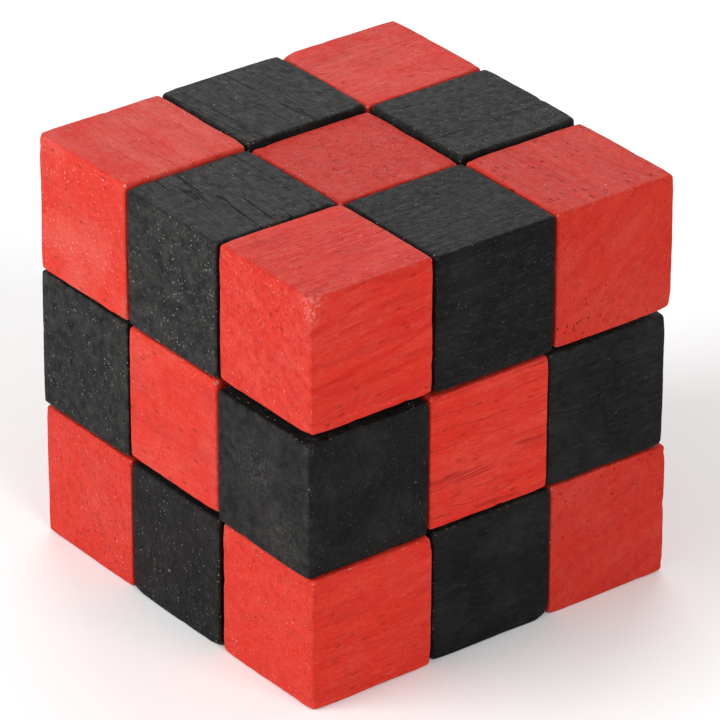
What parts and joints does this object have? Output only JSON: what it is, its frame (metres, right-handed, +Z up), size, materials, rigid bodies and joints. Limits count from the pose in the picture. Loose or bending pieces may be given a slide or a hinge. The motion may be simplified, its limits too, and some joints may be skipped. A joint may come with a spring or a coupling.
{
  "type": "snake cube puzzle",
  "caption": "Snake cube puzzle: two-tone wooden cubes threaded on one elastic cord, folded into a solid cube whose cubes pull apart and whose layers turn.",
  "frame": {"origin": "centre of the underside of the folded cube, on the surface that it rests on", "axes": "+Z up; X and Y along the cube's horizontal edges. The chain ends in the top corner cube at -X -Y, and starts in the bottom corner cube at +X +Y"},
  "size_m": [0.0603, 0.0604, 0.0606],
  "materials": {
    "red_wood": "dyed close-grained hardwood, bare and slightly dusty, semi-matte",
    "black_wood": "dyed close-grained hardwood, bare and slightly dusty, semi-matte",
    "elastic_cord": "round elastic cord with a braided textile sheath",
    "plain_wood": "undyed turned beech plug, glued in"
  },
  "bodies": {
    "cube_01": {"cube_01": "red_wood", "cord_knot": "elastic_cord", "first_plug": "plain_wood"},
    "cube_02": {"cube_02": "black_wood", "cord_01": "elastic_cord"},
    "cube_03": {"cube_03": "red_wood", "cord_02": "elastic_cord"},
    "cube_04": {"cube_04": "black_wood", "cord_03": "elastic_cord"},
    "cube_05": {"cube_05": "red_wood", "cord_04": "elastic_cord"},
    "cube_06": {"cube_06": "black_wood", "cord_05": "elastic_cord"},
    "cube_07": {"cube_07": "red_wood", "cord_06": "elastic_cord"},
    "cube_08": {"cube_08": "black_wood", "cord_07": "elastic_cord"},
    "cube_09": {"cube_09": "red_wood", "cord_08": "elastic_cord"},
    "cube_10": {"cube_10": "black_wood"},
    "cube_11": {"cube_11": "red_wood", "cord_10": "elastic_cord"},
    "cube_12": {"cube_12": "black_wood", "cord_11": "elastic_cord"},
    "cube_13": {"cube_13": "red_wood", "cord_12": "elastic_cord"},
    "cube_14": {"cube_14": "black_wood", "cord_13": "elastic_cord"},
    "cube_15": {"cube_15": "red_wood", "cord_14": "elastic_cord"},
    "cube_16": {"cube_16": "black_wood", "cord_15": "elastic_cord"},
    "cube_17": {"cube_17": "red_wood", "cord_16": "elastic_cord"},
    "cube_18": {"cube_18": "black_wood", "cord_17": "elastic_cord"},
    "cube_19": {"cube_19": "red_wood"},
    "cube_20": {"cube_20": "black_wood", "cord_19": "elastic_cord"},
    "cube_21": {"cube_21": "red_wood", "cord_20": "elastic_cord"},
    "cube_22": {"cube_22": "black_wood", "cord_21": "elastic_cord"},
    "cube_23": {"cube_23": "red_wood", "cord_22": "elastic_cord"},
    "cube_24": {"cube_24": "black_wood", "cord_23": "elastic_cord"},
    "cube_25": {"cube_25": "red_wood"},
    "cube_26": {"cube_26": "black_wood", "cord_25": "elastic_cord"},
    "cube_27": {"cube_27": "red_wood", "cord_26": "elastic_cord", "last_plug": "plain_wood"},
    "swivel_09": {"cord_09": "elastic_cord"},
    "swivel_18": {"cord_18": "elastic_cord"},
    "swivel_24": {"cord_24": "elastic_cord"}
  },
  "joints": [
    {"name": "stretch_01", "type": "slide", "parent": "cube_02", "child": "cube_01", "axis": [1, 0, 0], "range_m": [0, 0.008], "stiffness_N_per_m": 25, "springref_m": -0.16},
    {"name": "stretch_02", "type": "slide", "parent": "cube_03", "child": "cube_02", "axis": [1, 0, 0], "range_m": [0, 0.008], "stiffness_N_per_m": 25, "springref_m": -0.16},
    {"name": "stretch_03", "type": "slide", "parent": "cube_04", "child": "cube_03", "axis": [0, 1, 0], "range_m": [0, 0.008], "stiffness_N_per_m": 25, "springref_m": -0.16},
    {"name": "stretch_04", "type": "slide", "parent": "cube_05", "child": "cube_04", "axis": [-1, 0, 0], "range_m": [0, 0.008], "stiffness_N_per_m": 25, "springref_m": -0.16},
    {"name": "stretch_05", "type": "slide", "parent": "cube_05", "child": "cube_06", "axis": [1, 0, 0], "range_m": [0, 0.008], "stiffness_N_per_m": 25, "springref_m": -0.16},
    {"name": "stretch_06", "type": "slide", "parent": "cube_06", "child": "cube_07", "axis": [0, -1, 0], "range_m": [0, 0.008], "stiffness_N_per_m": 25, "springref_m": -0.16},
    {"name": "stretch_07", "type": "slide", "parent": "cube_07", "child": "cube_08", "axis": [-1, 0, 0], "range_m": [0, 0.008], "stiffness_N_per_m": 25, "springref_m": -0.16},
    {"name": "stretch_08", "type": "slide", "parent": "cube_08", "child": "cube_09", "axis": [-1, 0, 0], "range_m": [0, 0.008], "stiffness_N_per_m": 25, "springref_m": -0.16},
    {"name": "stretch_09", "type": "slide", "parent": "cube_09", "child": "swivel_09", "axis": [0, 0, 1], "range_m": [0, 0.008], "stiffness_N_per_m": 25, "springref_m": -0.16},
    {"name": "twist_09", "type": "hinge", "parent": "swivel_09", "child": "cube_10", "pos_m": [-0.02, -0.02, 0.02985], "axis": [0, 0, 1], "continuous": true},
    {"name": "stretch_10", "type": "slide", "parent": "cube_10", "child": "cube_11", "axis": [0, 1, 0], "range_m": [0, 0.008], "stiffness_N_per_m": 25, "springref_m": -0.16},
    {"name": "stretch_11", "type": "slide", "parent": "cube_11", "child": "cube_12", "axis": [0, 1, 0], "range_m": [0, 0.008], "stiffness_N_per_m": 25, "springref_m": -0.16},
    {"name": "stretch_12", "type": "slide", "parent": "cube_12", "child": "cube_13", "axis": [1, 0, 0], "range_m": [0, 0.008], "stiffness_N_per_m": 25, "springref_m": -0.16},
    {"name": "stretch_13", "type": "slide", "parent": "cube_13", "child": "cube_14", "axis": [0, -1, 0], "range_m": [0, 0.008], "stiffness_N_per_m": 25, "springref_m": -0.16},
    {"name": "stretch_14", "type": "slide", "parent": "cube_14", "child": "cube_15", "axis": [0, -1, 0], "range_m": [0, 0.008], "stiffness_N_per_m": 25, "springref_m": -0.16},
    {"name": "stretch_15", "type": "slide", "parent": "cube_15", "child": "cube_16", "axis": [1, 0, 0], "range_m": [0, 0.008], "stiffness_N_per_m": 25, "springref_m": -0.16},
    {"name": "stretch_16", "type": "slide", "parent": "cube_16", "child": "cube_17", "axis": [0, 1, 0], "range_m": [0, 0.008], "stiffness_N_per_m": 25, "springref_m": -0.16},
    {"name": "stretch_17", "type": "slide", "parent": "cube_17", "child": "cube_18", "axis": [0, 1, 0], "range_m": [0, 0.008], "stiffness_N_per_m": 25, "springref_m": -0.16},
    {"name": "stretch_18", "type": "slide", "parent": "cube_18", "child": "swivel_18", "axis": [0, 0, 1], "range_m": [0, 0.0102], "stiffness_N_per_m": 25, "springref_m": -0.16},
    {"name": "twist_18", "type": "hinge", "parent": "swivel_18", "child": "cube_19", "pos_m": [0.02, 0.02, 0.04985], "axis": [0, 0, 1], "continuous": true},
    {"name": "stretch_19", "type": "slide", "parent": "cube_19", "child": "cube_20", "axis": [-1, 0, 0], "range_m": [0, 0.008], "stiffness_N_per_m": 25, "springref_m": -0.16},
    {"name": "stretch_20", "type": "slide", "parent": "cube_20", "child": "cube_21", "axis": [-1, 0, 0], "range_m": [0, 0.008], "stiffness_N_per_m": 25, "springref_m": -0.16},
    {"name": "stretch_21", "type": "slide", "parent": "cube_21", "child": "cube_22", "axis": [0, -1, 0], "range_m": [0, 0.008], "stiffness_N_per_m": 25, "springref_m": -0.16},
    {"name": "stretch_22", "type": "slide", "parent": "cube_22", "child": "cube_23", "axis": [1, 0, 0], "range_m": [0, 0.008], "stiffness_N_per_m": 25, "springref_m": -0.16},
    {"name": "stretch_23", "type": "slide", "parent": "cube_23", "child": "cube_24", "axis": [1, 0, 0], "range_m": [0, 0.008], "stiffness_N_per_m": 25, "springref_m": -0.16},
    {"name": "stretch_24", "type": "slide", "parent": "cube_24", "child": "swivel_24", "axis": [0, -1, 0], "range_m": [0, 0.008], "stiffness_N_per_m": 25, "springref_m": -0.16},
    {"name": "twist_24", "type": "hinge", "parent": "swivel_24", "child": "cube_25", "pos_m": [0.02, -0.02, 0.04985], "axis": [0, 1, 0], "range_deg": [0, 90]},
    {"name": "stretch_25", "type": "slide", "parent": "cube_25", "child": "cube_26", "axis": [-1, 0, 0], "range_m": [0, 0.008], "stiffness_N_per_m": 25, "springref_m": -0.16},
    {"name": "stretch_26", "type": "slide", "parent": "cube_26", "child": "cube_27", "axis": [-1, 0, 0], "range_m": [0, 0.008], "stiffness_N_per_m": 25, "springref_m": -0.16}
  ],
  "couplings": [
    {"joint": "stretch_18", "follows": "twist_24", "m_per_rad": 0.0064}
  ]
}
